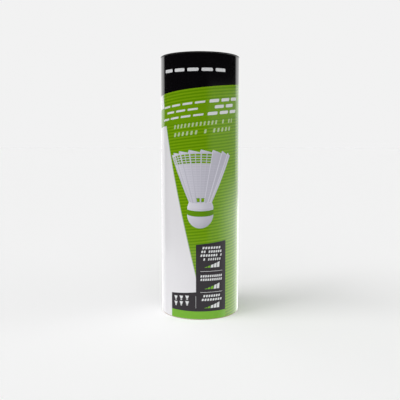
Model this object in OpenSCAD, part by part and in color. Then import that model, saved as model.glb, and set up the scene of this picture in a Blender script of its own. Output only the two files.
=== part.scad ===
// Tube of badminton shuttlecocks: a paperboard can with a printed wrap, a pressed-in base,
// a plug lid, and a nested stack of nylon shuttlecocks standing head up inside it.
// Millimetres, +Z up, origin at the middle of the underside.

/* [Shuttlecock] */
// Overall length, from the skirt tips to the crown of the head
shuttle_l = 83; // [74:1:90]
// Diameter across the skirt tips
tip_d = 65.2; // [60:0.2:68]
// Diameter of the waist, where the skirt is narrowest
waist_d = 23.4; // [21:0.2:24.4]
// Height of the moulded collar between the waist and the head
collar_h = 6.6; // [5:0.2:9]
// Number of stems, and of vanes between them
stem_count = 16; // [12:1:18]
// Width of one stem
stem_w = 1.4; // [1:0.1:1.8]
// Radial depth of one stem
stem_depth = 1.7; // [1.4:0.1:2]
// How far a stem stands out of the vanes
stem_proud = 0.5; // [0.3:0.1:0.6]
// Radial thickness of a vane
vane_t = 0.5; // [0.4:0.1:0.8]
// How far a vane's slanting edge falls from its own stem to the next
saw_h = 3.1; // [1.5:0.1:4]

/* [Skirt openings] */
// Rows of openings in the net near the tips
net_rows = 4; // [1:1:4]
// Height of one net opening
net_opening_h = 1.8; // [1.2:0.1:2]
// Height of the bar between two rows, and of the rim below the first
net_bar_h = 0.8; // [0.6:0.1:1]
// Width of the bar that halves each vane's openings
net_mid_w = 0.9; // [0.6:0.1:1.2]
// Height of the vent between two stems above the waist
vent_h = 4.7; // [3:0.1:6]
// Width of that vent
vent_w = 2.6; // [2:0.1:3]
// Distance from the waist to the vents
vent_gap = 1.4; // [1:0.1:3]

/* [Head] */
// Diameter of the head over its skin
head_d = 26.6; // [25:0.2:27.6]
// Height of the head's straight side, below its round crown
head_side_h = 6.7; // [6:0.1:9]
// Thickness of the skin
skin_t = 0.4; // [0.3:0.1:0.6]
// Width of the coloured ribbon round the head
band_w = 5.4; // [4:0.2:5.4]
// Distance from the head's flat end to the ribbon
band_edge = 0.6; // [0.4:0.1:0.6]
// Thickness of the ribbon
band_t = 0.25; // [0.2:0.05:0.35]
// Diameter of the hole in the core
bore_d = 15; // [13:0.5:16]
// Depth of the hole in the core
bore_depth = 9; // [7:0.5:10]
// Wall of the skirt's plug, web and collar
collar_wall = 1.3; // [1:0.1:1.5]

/* [Tube] */
// Number of shuttlecocks in the stack
shuttle_count = 6; // [2:1:6]
// Wall thickness of the paperboard tube
tube_wall = 1.6; // [1.2:0.1:2.2]
// Gap between the skirt tips and the tube wall
tube_gap = 0.6; // [0.5:0.1:1.5]
// Thickness of the printed wrap
label_t = 0.2; // [0.15:0.05:0.3]
// Bare paperboard below the wrap
label_margin = 0.6; // [0.4:0.1:2]
// Free height between the top shuttlecock and the lid
head_room = 3.9; // [2:0.1:10]

/* [Ends] */
// Depth of the recess under the base
base_recess = 5.2; // [4.6:0.1:8]
// Thickness of the panels of the base and the lid
panel_t = 1.2; // [1:0.1:1.6]
// Wall thickness of the base and the lid
end_wall = 1.1; // [0.9:0.1:1.4]
// Depth of the lid's plug below its flange
lid_plug_depth = 6.5; // [5.4:0.1:9]
// Thickness of the lid's flange
flange_t = 1.2; // [0.9:0.1:1.6]
// Radius of the flange's outer edges
flange_round = 0.4; // [0.2:0.1:0.4]
// Diameter of the raised ring on the lid's panel
ring_d = 44; // [30:1:54]
// Width of that ring
ring_w = 1.4; // [1:0.1:2]
// Height of that ring
ring_h = 0.6; // [0.4:0.1:1]

/* [Clearances] */
// Gap between a nested head and the stems of the skirt over it
nest_gap = 0.3; // [0.3:0.1:1]
// Gap under the lowest skirt, and under the base's rim
seat_gap = 0.3; // [0.1:0.1:0.5]
// Gap between the lid's flange and the tube's rim
lid_seat = 0.1; // [0.05:0.05:0.2]
// Radial gap between the lid's plug and the tube
lid_gap = 0.15; // [0.1:0.05:0.3]
// Glue line between pieces that are bonded
glue_gap = 0.05; // [0.05:0.01:0.1]

/* [Hidden] */
PIECES = ["skirt", "core", "skin", "band"];
$fn = 96;
over = 1; // how far a cutter runs past what it cuts

// Shuttlecock, in its own frame: tips at z = 0, crown of the head at z = shuttle_l
tip_r = tip_d / 2;
waist_r = waist_d / 2;
head_r = head_d / 2;
dome_z = shuttle_l - head_r;       // where the head's round crown starts
head_z = dome_z - head_side_h;     // flat end of the head
waist_z = head_z - collar_h;
flare = (tip_r - waist_r) / waist_z; // fall of the skirt's radius for each mm of height
flare_angle = atan(flare);
vane_angle = 360 / stem_count;
collar_r = head_r - glue_gap;
web_z = head_z - collar_wall;      // underside of the web that closes the collar
waist_in_r = waist_r - collar_wall;
plug_r = bore_d / 2 - glue_gap;
plug_l = bore_depth - collar_wall; // the plug stops short of the bottom of the hole
band_z = head_z + band_edge;
core_r = head_r - skin_t - glue_gap;
net_z = saw_h + net_bar_h;
net_pitch = net_opening_h + net_bar_h;
vent_z = waist_z - vent_gap - vent_h;

// Stack: a head stops against the stems of the skirt over it, or against its web in a wide skirt
nest_r = tip_r - stem_depth - (head_r + nest_gap) / cos(flare_angle);
nest_pitch = max(dome_z - nest_r / flare, shuttle_l + nest_gap - web_z);
stack_z = base_recess + panel_t + seat_gap;
stack_top = stack_z + (shuttle_count - 1) * nest_pitch + shuttle_l;

// Tube and ends
tube_in_r = tip_r + tube_gap;
tube_r = tube_in_r + tube_wall;
wrap_r = tube_r + label_t;
tube_h = stack_top + head_room + lid_plug_depth;
lid_plug_r = tube_in_r - lid_gap;
flange_z = tube_h + lid_seat;
base_r = tube_in_r - glue_gap;

// Outer radius of the skirt at height z
function skirt_r(z) = tip_r - flare * z;

// Half of the chord between the middles of two stems at height z
function half_chord(z) = skirt_r(z) * tan(vane_angle / 2);

module at_each_vane(offset = 0) {
    for (i = [0:stem_count - 1])
        rotate([0, 0, (i + offset) * vane_angle - 90]) children();
}

// A cone-shaped shell whose outer face lies inset mm inside the skirt's outer radius
module skirt_shell(inset, thickness, z0, z1) {
    rotate_extrude()
        polygon([
            [skirt_r(z0) - inset, z0],
            [skirt_r(z1) - inset, z1],
            [skirt_r(z1) - inset - thickness, z1],
            [skirt_r(z0) - inset - thickness, z0]
        ]);
}

// The slanting saw edge of one vane, which falls clockwise from its own stem
module saw_cutter() {
    w = half_chord(saw_h);
    translate([waist_r, 0, 0])
        rotate([90, 0, 90])
            linear_extrude(tip_r)
                polygon([[w, -over], [w, 0], [-w, saw_h], [-w, -over]]);
}

// One row of net openings on one vane, on both sides of the middle bar
module net_cutter(z) {
    w = half_chord(z + net_opening_h) - stem_w / 2 - net_mid_w / 2;
    for (side = [-1, 1])
        translate([waist_r, side * (net_mid_w + w) / 2 - w / 2, z])
            cube([tip_r, w, net_opening_h]);
}

module vent_cutter() {
    translate([waist_in_r - over, -vent_w / 2, vent_z])
        cube([tip_r, vent_w, vent_h]);
}

module vanes() {
    difference() {
        skirt_shell(stem_proud, vane_t, 0, waist_z);
        at_each_vane(0.5) {
            saw_cutter();
            for (row = [0:net_rows - 1]) net_cutter(net_z + row * net_pitch);
            vent_cutter();
        }
    }
}

module stems() {
    intersection() {
        skirt_shell(0, stem_depth, 0, waist_z);
        at_each_vane()
            translate([waist_in_r - stem_depth - over, -stem_w / 2, -over])
                cube([tip_r, stem_w, waist_z + 2 * over]);
    }
}

// The collar flares from the waist to the head, is closed by a web, and carries a ring that
// plugs into the core
module collar() {
    rotate_extrude()
        polygon([
            [waist_in_r, waist_z],
            [waist_r, waist_z],
            [collar_r, web_z],
            [collar_r, head_z],
            [plug_r, head_z],
            [plug_r, head_z + plug_l],
            [plug_r - collar_wall, head_z + plug_l],
            [plug_r - collar_wall, head_z],
            [0, head_z],
            [0, web_z],
            [collar_r - 2 * collar_wall, web_z]
        ]);
}

module skirt() {
    color("ghostwhite")
        union() {
            vanes();
            stems();
            collar();
        }
}

// A dome on a cylinder, from height z0 to the crown
module head_form(r, z0) {
    rotate_extrude()
        intersection() {
            union() {
                translate([0, dome_z]) circle(r);
                square([r, dome_z]);
            }
            translate([0, z0]) square([r, shuttle_l]);
        }
}

module core() {
    color("burlywood")
        difference() {
            head_form(core_r, head_z + glue_gap);
            translate([0, 0, head_z - over])
                cylinder(r = bore_d / 2, h = bore_depth + over);
        }
}

module skin() {
    color("white")
        difference() {
            head_form(head_r, head_z + glue_gap);
            translate([0, 0, head_z - over])
                cylinder(r = core_r + glue_gap, h = dome_z - head_z + over);
            translate([0, 0, dome_z]) sphere(core_r + glue_gap);
        }
}

module band() {
    color("olivedrab")
        translate([0, 0, band_z])
            difference() {
                cylinder(r = head_r + glue_gap + band_t, h = band_w);
                translate([0, 0, -over])
                    cylinder(r = head_r + glue_gap, h = band_w + 2 * over);
            }
}

module shuttle_piece(piece) {
    if (piece == "skirt") skirt();
    if (piece == "core") core();
    if (piece == "skin") skin();
    if (piece == "band") band();
}

module tube() {
    color("tan")
        difference() {
            cylinder(r = tube_r, h = tube_h);
            translate([0, 0, -over]) cylinder(r = tube_in_r, h = tube_h + 2 * over);
        }
}

module wrap() {
    color("yellowgreen")
        translate([0, 0, label_margin])
            difference() {
                cylinder(r = wrap_r, h = tube_h - label_margin);
                translate([0, 0, -over]) cylinder(r = tube_r, h = tube_h + 2 * over);
            }
}

// A shallow cup pressed into the bottom of the tube, panel upwards
module base() {
    color("dimgray")
        difference() {
            translate([0, 0, seat_gap])
                cylinder(r = base_r, h = base_recess + panel_t - seat_gap);
            translate([0, 0, -over])
                cylinder(r = base_r - end_wall, h = base_recess + over);
        }
}

// The flange's outline in section, rounded at both outer edges
module flange_section() {
    r = flange_round;
    square([wrap_r - r, flange_t]);
    translate([0, r]) square([wrap_r, flange_t - 2 * r]);
    for (y = [r, flange_t - r]) translate([wrap_r - r, y]) circle(r);
}

// A plug with a flange on the tube's rim, open at the top, with a ring on its sunk panel
module lid() {
    panel_z = panel_t - lid_plug_depth;
    color("black")
        translate([0, 0, flange_z]) {
            difference() {
                union() {
                    rotate_extrude() flange_section();
                    translate([0, 0, -lid_plug_depth])
                        cylinder(r = lid_plug_r, h = lid_plug_depth + flange_t / 2);
                }
                translate([0, 0, panel_z])
                    cylinder(r = lid_plug_r - end_wall, h = lid_plug_depth + flange_t);
            }
            rotate_extrude()
                translate([ring_d / 2 - ring_w, panel_z - panel_t / 2])
                    square([ring_w, panel_t / 2 + ring_h]);
        }
}

tube();
wrap();
base();
lid();
for (k = [1:shuttle_count], piece = PIECES)
    translate([0, 0, stack_z + (k - 1) * nest_pitch]) shuttle_piece(piece);
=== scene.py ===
import math

import bmesh
import bpy
from bpy.props import FloatProperty, FloatVectorProperty, IntProperty, PointerProperty
from bpy.types import Operator, Panel, PropertyGroup
from mathutils import Euler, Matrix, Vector


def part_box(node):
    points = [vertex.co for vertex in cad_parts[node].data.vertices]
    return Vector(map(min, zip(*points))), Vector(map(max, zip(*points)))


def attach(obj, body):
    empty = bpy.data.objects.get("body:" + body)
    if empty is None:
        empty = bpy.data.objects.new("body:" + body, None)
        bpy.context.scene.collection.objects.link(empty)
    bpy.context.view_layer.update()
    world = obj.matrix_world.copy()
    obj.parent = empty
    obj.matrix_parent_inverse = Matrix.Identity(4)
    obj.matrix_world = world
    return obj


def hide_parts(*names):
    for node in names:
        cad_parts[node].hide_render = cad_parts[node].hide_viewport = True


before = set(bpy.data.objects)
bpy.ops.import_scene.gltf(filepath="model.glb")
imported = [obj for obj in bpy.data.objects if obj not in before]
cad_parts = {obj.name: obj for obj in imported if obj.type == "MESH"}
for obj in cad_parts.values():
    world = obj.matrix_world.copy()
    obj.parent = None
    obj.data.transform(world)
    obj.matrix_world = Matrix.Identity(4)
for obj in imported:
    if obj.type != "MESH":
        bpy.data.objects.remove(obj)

bl_info = {
    "name": "Shuttlecock Tube",
    "version": (1, 0, 0),
    "blender": (4, 5, 0),
    "location": "3D View > Sidebar > Tube",
    "description": "Printed tube with its lid and base, and the nylon shuttlecocks stacked in it",
    "category": "Object",
}

MM = 0.001
FULL_TURN = 2 * math.pi
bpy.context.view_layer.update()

# Places and sizes that the frame settles
WRAP_LOW, WRAP_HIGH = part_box("wrap")
WRAP_RADIUS = WRAP_HIGH.x
TUBE_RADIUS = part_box("tube")[1].x
LID_LOW, LID_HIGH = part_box("lid")
BASE_LOW, BASE_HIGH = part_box("base")
SHUTTLES = range(1, 1 + sum(name.endswith("_skirt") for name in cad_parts))
TIP_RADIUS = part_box("shuttle_1_skirt")[1].x
TIP_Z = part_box("shuttle_1_skirt")[0].z
SKIN_LOW, SKIN_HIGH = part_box("shuttle_1_skin")
BAND_LOW, BAND_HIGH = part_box("shuttle_1_band")
HEAD_RADIUS = SKIN_HIGH.x
CROWN = SKIN_HIGH.z - TIP_Z              # heights on a shuttlecock count from its tips
PLUG_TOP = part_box("shuttle_1_skirt")[1].z - TIP_Z
CORE_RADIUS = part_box("shuttle_1_core")[1].x

# Sizes that the frame's boxes don't show
TUBE_WALL = 1.6 * MM
LID_GAP = 0.15 * MM      # between the lid's plug and the tube
GLUE = 0.05 * MM         # between pieces that are bonded
WRAP_LAP = 8.0           # millimetres of paper over the wrap's joint
PAPER_FILM = 0.12 * MM   # how far that lap stands proud


# ---------------------------------------------------------------- settings

def length(name, description, default):
    """A size in metres, as the panel shows it."""
    return FloatProperty(name=name, description=description, default=default, min=0.0, subtype="DISTANCE",
                         unit="LENGTH", precision=5)


def colour(name, description, default):
    """A colour, as the panel shows it."""
    return FloatVectorProperty(name=name, description=description, default=default, size=3,
                               min=0.0, max=1.0, subtype="COLOR")


def brightness(name, description, default):
    """A light's strength, as the panel shows it."""
    return FloatProperty(name=name, description=description, default=default, min=0.0)


class PrintSettings(PropertyGroup):
    """The printed wrap."""
    slope: FloatProperty(
        name="Slope",
        description="Rise of the slanting print lines for each metre round the tube",
        default=0.109,
    )
    stripe_pitch: length("Stripe pitch", "Distance from one stripe to the next", 2.6 * MM)
    black_line: length("Black line", "Height of the black band's lower edge at the front", 199 * MM)
    plain_low: length("Plain low", "Lower edge of the unstriped band at the front", 171.3 * MM)
    plain_high: length("Plain high", "Upper edge of the unstriped band at the front", 187 * MM)
    ink_film: length("Ink film", "Thickness of one printed layer", 0.02 * MM)
    light_green: colour("Light green", "Field between the stripes", (0.200, 0.380, 0.005))
    dark_green: colour("Dark green", "Stripes and unstriped band", (0.118, 0.282, 0.0))
    bright_green: colour("Bright green", "Strip along the foot and gauge marks", (0.165, 0.43, 0.012))
    paper: colour("Paper white", "Unprinted paper under its film", (0.79, 0.78, 0.805))
    black: colour("Black", "Top band", (0.0022, 0.0018, 0.0026))
    charcoal: colour("Charcoal", "Information panel", (0.035, 0.030, 0.035))
    ink_white: colour("White ink", "Marks on the dark fields", (0.74, 0.75, 0.76))
    ink_pale: colour("Pale ink", "Marks on the green field", (0.50, 0.62, 0.34))


class ShuttleSettings(PropertyGroup):
    """The nylon shuttlecocks."""
    stems: IntProperty(name="Stems", description="Stems round the skirt", default=16, min=8, max=24)
    waist_radius: length("Waist radius", "Outer radius where the skirt is narrowest", 11.7 * MM)
    collar_height: length("Collar height", "From the waist to the flat end of the head", 6.6 * MM)
    collar_wall: length("Collar wall", "Wall of the collar and of the web over it", 1.3 * MM)
    stem_width: length("Stem width", "Width of a stem at the waist", 1.4 * MM)
    stem_depth: length("Stem depth", "Radial depth of a stem at the waist", 1.7 * MM)
    stem_proud: length("Stem proud", "How far a stem stands out of the vanes", 0.5 * MM)
    vane: length("Vane", "Thickness of a vane", 0.45 * MM)
    saw: length("Saw", "Fall of a vane's slanting edge", 3.1 * MM)
    bar: length("Bar", "Half the width of a net bar", 0.34 * MM)
    nylon: colour("Nylon", "Milky nylon of the skirt", (0.84, 0.85, 0.88))
    skin: colour("Skin", "Cover of the head", (0.86, 0.86, 0.85))
    ribbon: colour("Ribbon", "Ribbon round the head", (0.10, 0.36, 0.01))
    picture_shade: colour("Picture shade", "Darkest tone of the printed shuttlecock", (0.41, 0.40, 0.48))
    picture_ribbon: colour("Picture ribbon", "Ribbon of the printed shuttlecock", (0.085, 0.20, 0.004))
    picture_light: colour("Picture light", "Lightest tone of the printed shuttlecock", (0.80, 0.79, 0.86))


class CapSettings(PropertyGroup):
    """The lid and the base."""
    rounding: length("Rounding", "Radius of the flange's edge", 0.4 * MM)
    wall: length("Wall", "Wall of the lid's plug and of the base", 1.1 * MM)
    panel: length("Panel", "Thickness of the sunk panels", 1.2 * MM)
    flange: length("Flange", "Thickness of the lid's flange", 1.2 * MM)
    ring_radius: length("Ring", "Outer radius of the lid's raised ring", 22 * MM)
    base_ring: length("Base ring", "Inner radius of the groove under the base", 14 * MM)
    gate_depth: length("Gate depth", "Depth of the moulding marks in the middle", 0.3 * MM)
    ribs: IntProperty(name="Ribs", description="Grip ribs inside the lid's rim", default=48, min=2, max=96)
    spokes: IntProperty(name="Spokes", description="Spokes under the base", default=12, min=3, max=24)
    lid_colour: colour("Lid", "Lid plastic", (0.005, 0.005, 0.0055))
    base_colour: colour("Base", "Base plastic", (0.035, 0.035, 0.038))


class StudioSettings(PropertyGroup):
    """The stage, the lights and the camera."""
    camera_distance: length("Camera distance", "From the tube's axis to the camera", 0.496)
    camera_height: length("Camera height", "From the floor to the camera", 0.150)
    camera_pitch: FloatProperty(
        name="Camera pitch",
        description="Downward tilt of the camera",
        default=math.radians(5.61),
        subtype="ANGLE",
        unit="ROTATION",
    )
    lens: FloatProperty(
        name="Lens",
        description="Focal length in millimetres",
        default=49.05,
        min=10.0,
        subtype="DISTANCE_CAMERA",
    )
    backdrop: brightness("Backdrop", "Radiance of the pale floor and backdrop", 0.887)
    floor_glow: brightness("Floor glow", "Part of the floor's radiance that no shadow dims", 0.18)
    table: length("Table", "Radius of the near floor, which lights the tube from below", 0.7)
    far_floor: length("Far floor", "Radius of the floor that only carries on the view", 60.0)
    key: brightness("Key", "Strength of the light from the left", 1.34)
    fill: brightness("Fill", "Strength of the light from the front", 1.40)
    rim: brightness("Rim", "Strength of the shadowless light from behind on the left", 0.5)
    side: brightness("Side", "Strength of the shadowless light from the right", 1.1)


# ---------------------------------------------------------------- node trees

PRINT_SOFTNESS = 0.12    # millimetres over which one printed field turns into the next


class Graph:
    """A node tree that is written from left to right: each call adds a node and gives back its output."""

    def __init__(self, tree):
        self.tree = tree

    def add(self, kind, inputs=None, **settings):
        node = self.tree.nodes.new(kind)
        for key, value in settings.items():
            setattr(node, key, value)
        for key, value in (inputs or {}).items():
            self.give(node.inputs[key], value)
        return node

    def give(self, socket, value):
        """Joins an output to a socket, or sets a plain value on it."""
        if isinstance(value, bpy.types.NodeSocket):
            self.tree.links.new(value, socket)
        elif socket.type == "RGBA" and len(value) == 3:
            socket.default_value = (*value, 1.0)
        else:
            socket.default_value = value

    def calc(self, operation, *values, clamp=False):
        node = self.add("ShaderNodeMath", dict(enumerate(values)), operation=operation, use_clamp=clamp)
        return node.outputs[0]

    def times(self, first, second, clamp=False):
        return self.calc("MULTIPLY", first, second, clamp=clamp)

    def linear(self, value, factor, added, clamp=False):
        """A value times a factor, with something added."""
        return self.calc("MULTIPLY_ADD", value, factor, added, clamp=clamp)

    def place(self):
        """The point's place in metres: the object's own axes are the tube's."""
        return self.add("ShaderNodeTexCoord").outputs["Object"]

    def parts(self, vector):
        """A vector's X, Y and Z."""
        return self.add("ShaderNodeSeparateXYZ", {0: vector}).outputs

    def noise(self, vector, scale, detail, inputs=None, **settings):
        """A noise texture's value."""
        given = {"Vector": vector, "Scale": scale, "Detail": detail, **(inputs or {})}
        return self.add("ShaderNodeTexNoise", given, **settings).outputs[0]

    def ramp(self, value, start, end, low=0.0, high=1.0, **settings):
        """Turns start to end into low to high, and stops at both."""
        ends = {"Value": value, "From Min": start, "From Max": end, "To Min": low, "To Max": high}
        return self.add("ShaderNodeMapRange", ends, **settings).outputs[0]

    def mix(self, share, first, second):
        node = self.add("ShaderNodeMix", data_type="RGBA")
        self.give(node.inputs["Factor"], share)
        self.give(node.inputs[6], first)
        self.give(node.inputs[7], second)
        return node.outputs[2]

    def group(self, tree, **inputs):
        node = self.add("ShaderNodeGroup", node_tree=tree)
        for key, value in inputs.items():
            self.give(node.inputs[key.replace("_", " ")], value)
        return node.outputs


def new_group(name, inputs, outputs):
    """A shader node group with named float inputs, given with their defaults, and named outputs."""
    tree = bpy.data.node_groups.new(name, "ShaderNodeTree")
    for label, default in inputs.items():
        socket = tree.interface.new_socket(label, in_out="INPUT", socket_type="NodeSocketFloat")
        socket.default_value = default
    for label in outputs:
        tree.interface.new_socket(label, in_out="OUTPUT", socket_type="NodeSocketFloat")
    graph = Graph(tree)
    ins = graph.add("NodeGroupInput").outputs
    outs = graph.add("NodeGroupOutput").inputs
    return tree, graph, ins, outs


def label_place_group():
    """Where a point is on the wrap laid flat: millimetres round from the front's middle, and up."""
    tree, graph, ins, outs = new_group("Label place", {"Radius": WRAP_RADIUS}, ("Around", "Up"))
    place = graph.parts(graph.place())
    front = graph.times(place["Y"], -1.0)
    angle = graph.calc("ARCTAN2", place["X"], front)
    around = graph.times(graph.times(angle, ins["Radius"]), 1 / MM)
    graph.give(outs["Around"], around)
    graph.give(outs["Up"], graph.times(place["Z"], 1 / MM))
    return tree


def slanting_edge_group():
    """A mask that is 1 over a straight line that rises by Slope for each millimetre round the tube."""
    inputs = {"Around": 0, "Up": 0, "Line": 0, "Slope": 0, "Softness": PRINT_SOFTNESS}
    tree, graph, ins, outs = new_group("Slanting edge", inputs, ("Over",))
    line = graph.linear(ins["Around"], ins["Slope"], ins["Line"])
    over = graph.calc("SUBTRACT", ins["Up"], line)
    graph.give(outs["Over"], graph.calc("ADD", graph.calc("DIVIDE", over, ins["Softness"]), 0.5, clamp=True))
    return tree


def handling_group():
    """Marks that handling leaves on a smooth skin: Smudge is broad and faint, Scratch is thin and sparse."""
    inputs = {"Smudge size": 30, "Scratch size": 220, "Seed": 0}
    tree, graph, ins, outs = new_group("Handling marks", inputs, ("Smudge", "Scratch"))
    place = graph.place()
    seeded = {"W": ins["Seed"], "Roughness": 0.6}
    smudge = graph.noise(place, ins["Smudge size"], 3.0, seeded, noise_dimensions="4D")
    graph.give(outs["Smudge"], graph.ramp(smudge, 0.42, 0.72))
    lines = {"Vector": place, "Rotation": (0.3, 0.2, 0.5), "Scale": (1.0, 1.0, 0.06)}
    stretched = graph.add("ShaderNodeMapping", lines).outputs[0]
    scratch = graph.noise(stretched, ins["Scratch size"], 2.0, {"W": ins["Seed"]}, noise_dimensions="4D")
    graph.give(outs["Scratch"], graph.ramp(scratch, 0.70, 0.74))
    return tree


def speckle_group():
    """Fine random grain from 0 to 1, for fibres, ink and moulded skins."""
    tree, graph, ins, outs = new_group("Speckle", {"Size": 2500, "Detail": 2}, ("Grain", "Patch"))
    place = graph.place()
    graph.give(outs["Grain"], graph.noise(place, ins["Size"], ins["Detail"], {"Roughness": 0.65}))
    coarse = graph.times(ins["Size"], 0.06)
    graph.give(outs["Patch"], graph.noise(place, coarse, 3.0))
    return tree


def edge_wear_group():
    """A mask that is 1 on sharp outer edges, broken up by grain, where a skin rubs pale."""
    tree, graph, ins, outs = new_group("Edge wear", {"Amount": 0.5, "Grain size": 900}, ("Worn",))
    point = graph.add("ShaderNodeNewGeometry").outputs["Pointiness"]
    edge = graph.ramp(point, 0.53, 0.62)
    broken = graph.ramp(graph.noise(graph.place(), ins["Grain size"], 3.0), 0.40, 0.62)
    worn = graph.times(edge, broken)
    graph.give(outs["Worn"], graph.times(worn, ins["Amount"], clamp=True))
    return tree


GROUPS = {}
GROUP_BUILDERS = {
    "label place": label_place_group,
    "slanting edge": slanting_edge_group,
    "handling": handling_group,
    "speckle": speckle_group,
    "edge wear": edge_wear_group,
}


def shared(name):
    """A shared node group, built the first time that a material asks for it."""
    if name not in GROUPS:
        GROUPS[name] = GROUP_BUILDERS[name]()
    return GROUPS[name]


def scaled(colour_value, factor, added=0.0):
    """A colour with each part multiplied, and a little added."""
    return [factor * part + added for part in colour_value]


def new_material(name):
    """A material with its graph and its Principled shader."""
    material = bpy.data.materials.new(name)
    material.use_nodes = True
    material.node_tree.nodes.clear()
    graph = Graph(material.node_tree)
    shader = graph.add("ShaderNodeBsdfPrincipled")
    out = graph.add("ShaderNodeOutputMaterial")
    graph.give(out.inputs["Surface"], shader.outputs[0])
    return material, graph, shader.inputs


def coat(graph, shader, base, rough, relief):
    """Gives a shader its colour, its roughness (a value, its factor and what is added) and its relief
    (a height from 0 to 1 and its depth in metres)."""
    height, depth = relief
    bump = {"Height": height, "Distance": depth, "Strength": 1.0}
    graph.give(shader["Base Color"], base)
    graph.give(shader["Roughness"], graph.linear(*rough))
    graph.give(shader["Normal"], graph.add("ShaderNodeBump", bump).outputs[0])


# ---------------------------------------------------------------- materials

SPIRAL_PITCH = 95 * MM   # climb of the board's spiral joint in one turn
PLY = 0.4 * MM           # thickness of one ply of the board
PAPER_LEAN = 0.2376      # how far the white paper's sides move left for each millimetre up
PAPER_START = 6.0        # where its near side meets the foot, in millimetres round from the front
PAPER_END = 92.0         # and its far side, the other way round


def laminate(graph, shader, ink, gloss=0.5):
    """Gives a printed colour the wrap's clear film: glossy, faintly wavy and a little handled."""
    marks = graph.group(shared("handling"), Smudge_size=26.0, Scratch_size=240.0, Seed=1.0)
    grain = graph.group(shared("speckle"), Size=5200.0, Detail=1.0)
    value = graph.linear(grain["Grain"], 0.10, 0.95)
    speckled = graph.add("ShaderNodeHueSaturation", {"Value": value, "Color": ink}).outputs[0]
    wavy = graph.noise(graph.place(), 55.0, 1.0)
    height = graph.linear(marks["Scratch"], -0.04, wavy)
    coat(graph, shader, speckled, (marks["Smudge"], 0.05, 0.075), (height, 0.03 * MM))
    shader["IOR"].default_value = 1.5
    shader["Specular IOR Level"].default_value = gloss


def wrap_material(look):
    """The printed fields of the wrap: black over green stripes, a plain band, and bare white paper."""
    material, graph, shader = new_material("printed_wrap")
    place = graph.group(shared("label place"))
    around, up = place["Around"], place["Up"]

    def over(line):
        edge = graph.group(shared("slanting edge"), Around=around, Up=up, Line=line / MM, Slope=look.slope,
                           Softness=PRINT_SOFTNESS)
        return edge["Over"]

    slanted = graph.linear(around, -look.slope, up)
    wave = graph.calc("SINE", graph.times(slanted, FULL_TURN * MM / look.stripe_pitch))
    stripe = graph.linear(wave, 1.4, 0.5, clamp=True)
    striped = graph.mix(stripe, look.dark_green, look.light_green)

    # The white paper shows left of a steep line, as far as a second one on the back
    leaning = graph.linear(up, PAPER_LEAN, around)
    near_side = graph.calc("SUBTRACT", PAPER_START, leaning, clamp=True)
    far_side = graph.calc("ADD", leaning, PAPER_END, clamp=True)
    white = graph.times(near_side, far_side)
    fields = graph.mix(white, striped, look.paper)

    band = graph.calc("SUBTRACT", over(look.plain_low), over(look.plain_high), clamp=True)
    fields = graph.mix(band, fields, [0.5 * (a + b) for a, b in zip(look.dark_green, look.light_green)])
    fields = graph.mix(over(look.black_line), fields, look.black)
    laminate(graph, shader, fields)
    return material


def ink_material(name, tone, gloss=0.5):
    """A flat printed colour under the wrap's film."""
    material, graph, shader = new_material(name)
    patch = graph.group(shared("speckle"), Size=3000.0)["Patch"]
    ink = graph.mix(graph.times(patch, 0.14), tone, scaled(tone, 0.8))
    laminate(graph, shader, ink, gloss)
    return material


def picture_material(name, shade, light):
    """A printed picture: the piece's own tone attribute runs from shade to light."""
    material, graph, shader = new_material(name)
    tone = graph.add("ShaderNodeAttribute", attribute_name="tone").outputs["Fac"]
    laminate(graph, shader, graph.mix(tone, shade, light))
    return material


def cap_material(name, tone, grain_depth):
    """Moulded plastic with a fine spark-eroded skin, rubbed paler on its edges."""
    material, graph, shader = new_material(name)
    grain = graph.group(shared("speckle"), Size=3200.0, Detail=2.0)
    marks = graph.group(shared("handling"), Smudge_size=60.0, Scratch_size=300.0, Seed=4.0)
    worn = graph.group(shared("edge wear"), Amount=0.55, Grain_size=1400.0)["Worn"]
    rubbed = graph.calc("MAXIMUM", worn, graph.times(marks["Scratch"], 0.3))
    body = graph.mix(graph.times(grain["Patch"], 0.35), tone, scaled(tone, 1.5, 0.004))
    base = graph.mix(rubbed, body, scaled(tone, 0.5, 0.06))
    coat(graph, shader, base, (marks["Smudge"], -0.08, 0.42), (grain["Grain"], grain_depth))
    return material


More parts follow.
